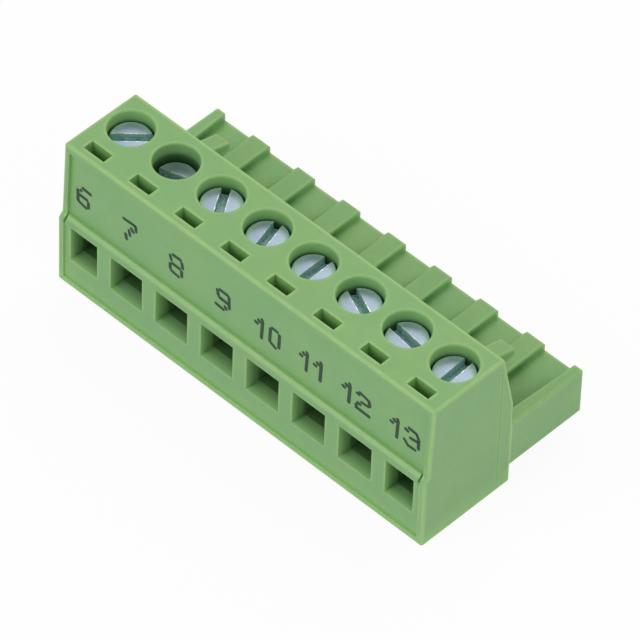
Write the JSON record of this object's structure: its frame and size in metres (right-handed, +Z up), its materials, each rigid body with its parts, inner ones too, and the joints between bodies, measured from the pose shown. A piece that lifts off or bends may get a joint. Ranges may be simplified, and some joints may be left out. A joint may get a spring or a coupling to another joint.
{
  "type": "pluggable terminal block",
  "caption": "Pluggable screw terminal block: framed wire entries, test slots and slotted clamp screws over a ribbed plug end that slides onto a pin header.",
  "frame": {"origin": "middle of the footprint, on the surface the block stands on", "axes": "+X along the row of poles, from the first to the last; +Y from the wire entries to the plug end; +Z up, the way the screw heads face"},
  "size_m": [0.0406, 0.0182, 0.015],
  "materials": {
    "housing_green": "satin moulded polyamide",
    "screw_zinc": "blue zinc plate",
    "cage_steel": "zinc plate",
    "contact_tin": "tin-plated copper alloy",
    "pole_print": "printed ink"
  },
  "bodies": {
    "housing": {"main_housing": "housing_green", "plug_housing": "housing_green", "contact_1": "contact_tin", "contact_2": "contact_tin", "contact_3": "contact_tin", "contact_4": "contact_tin", "contact_5": "contact_tin", "contact_6": "contact_tin", "contact_7": "contact_tin", "contact_8": "contact_tin"},
    "screw_1": {"clamp_screw_1": "screw_zinc"},
    "cage_1": {"clamp_cage_1": "cage_steel"},
    "screw_2": {"clamp_screw_2": "screw_zinc"},
    "cage_2": {"clamp_cage_2": "cage_steel"},
    "screw_3": {"clamp_screw_3": "screw_zinc"},
    "cage_3": {"clamp_cage_3": "cage_steel"},
    "screw_4": {"clamp_screw_4": "screw_zinc"},
    "cage_4": {"clamp_cage_4": "cage_steel"},
    "screw_5": {"clamp_screw_5": "screw_zinc"},
    "cage_5": {"clamp_cage_5": "cage_steel"},
    "screw_6": {"clamp_screw_6": "screw_zinc"},
    "cage_6": {"clamp_cage_6": "cage_steel"},
    "screw_7": {"clamp_screw_7": "screw_zinc"},
    "cage_7": {"clamp_cage_7": "cage_steel"},
    "screw_8": {"clamp_screw_8": "screw_zinc"},
    "cage_8": {"clamp_cage_8": "cage_steel"}
  },
  "joints": [
    {"name": "cage_rise_1", "type": "slide", "parent": "housing", "child": "cage_1", "axis": [0, 0, 1], "range_m": [0, 0.00275]},
    {"name": "screw_turn_1", "type": "hinge", "parent": "housing", "child": "screw_1", "pos_m": [-0.01778, -0.00345, 0.012], "axis": [0, 0, -1], "range_deg": [0, 1980]},
    {"name": "cage_rise_2", "type": "slide", "parent": "housing", "child": "cage_2", "axis": [0, 0, 1], "range_m": [0, 0.00275]},
    {"name": "screw_turn_2", "type": "hinge", "parent": "housing", "child": "screw_2", "pos_m": [-0.0127, -0.00345, 0.012], "axis": [0, 0, -1], "range_deg": [0, 1980]},
    {"name": "cage_rise_3", "type": "slide", "parent": "housing", "child": "cage_3", "axis": [0, 0, 1], "range_m": [0, 0.00275]},
    {"name": "screw_turn_3", "type": "hinge", "parent": "housing", "child": "screw_3", "pos_m": [-0.00762, -0.00345, 0.012], "axis": [0, 0, -1], "range_deg": [0, 1980]},
    {"name": "cage_rise_4", "type": "slide", "parent": "housing", "child": "cage_4", "axis": [0, 0, 1], "range_m": [0, 0.00275]},
    {"name": "screw_turn_4", "type": "hinge", "parent": "housing", "child": "screw_4", "pos_m": [-0.00254, -0.00345, 0.012], "axis": [0, 0, -1], "range_deg": [0, 1980]},
    {"name": "cage_rise_5", "type": "slide", "parent": "housing", "child": "cage_5", "axis": [0, 0, 1], "range_m": [0, 0.00275]},
    {"name": "screw_turn_5", "type": "hinge", "parent": "housing", "child": "screw_5", "pos_m": [0.00254, -0.00345, 0.012], "axis": [0, 0, -1], "range_deg": [0, 1980]},
    {"name": "cage_rise_6", "type": "slide", "parent": "housing", "child": "cage_6", "axis": [0, 0, 1], "range_m": [0, 0.00275]},
    {"name": "screw_turn_6", "type": "hinge", "parent": "housing", "child": "screw_6", "pos_m": [0.00762, -0.00345, 0.012], "axis": [0, 0, -1], "range_deg": [0, 1980]},
    {"name": "cage_rise_7", "type": "slide", "parent": "housing", "child": "cage_7", "axis": [0, 0, 1], "range_m": [0, 0.00275]},
    {"name": "screw_turn_7", "type": "hinge", "parent": "housing", "child": "screw_7", "pos_m": [0.0127, -0.00345, 0.012], "axis": [0, 0, -1], "range_deg": [0, 1980]},
    {"name": "cage_rise_8", "type": "slide", "parent": "housing", "child": "cage_8", "axis": [0, 0, 1], "range_m": [0, 0.00275]},
    {"name": "screw_turn_8", "type": "hinge", "parent": "housing", "child": "screw_8", "pos_m": [0.01778, -0.00345, 0.012], "axis": [0, 0, -1], "range_deg": [0, 1980]}
  ],
  "couplings": [
    {"joint": "screw_turn_1", "follows": "cage_rise_1", "rad_per_m": 12566},
    {"joint": "screw_turn_2", "follows": "cage_rise_2", "rad_per_m": 12566},
    {"joint": "screw_turn_3", "follows": "cage_rise_3", "rad_per_m": 12566},
    {"joint": "screw_turn_4", "follows": "cage_rise_4", "rad_per_m": 12566},
    {"joint": "screw_turn_5", "follows": "cage_rise_5", "rad_per_m": 12566},
    {"joint": "screw_turn_6", "follows": "cage_rise_6", "rad_per_m": 12566},
    {"joint": "screw_turn_7", "follows": "cage_rise_7", "rad_per_m": 12566},
    {"joint": "screw_turn_8", "follows": "cage_rise_8", "rad_per_m": 12566}
  ]
}
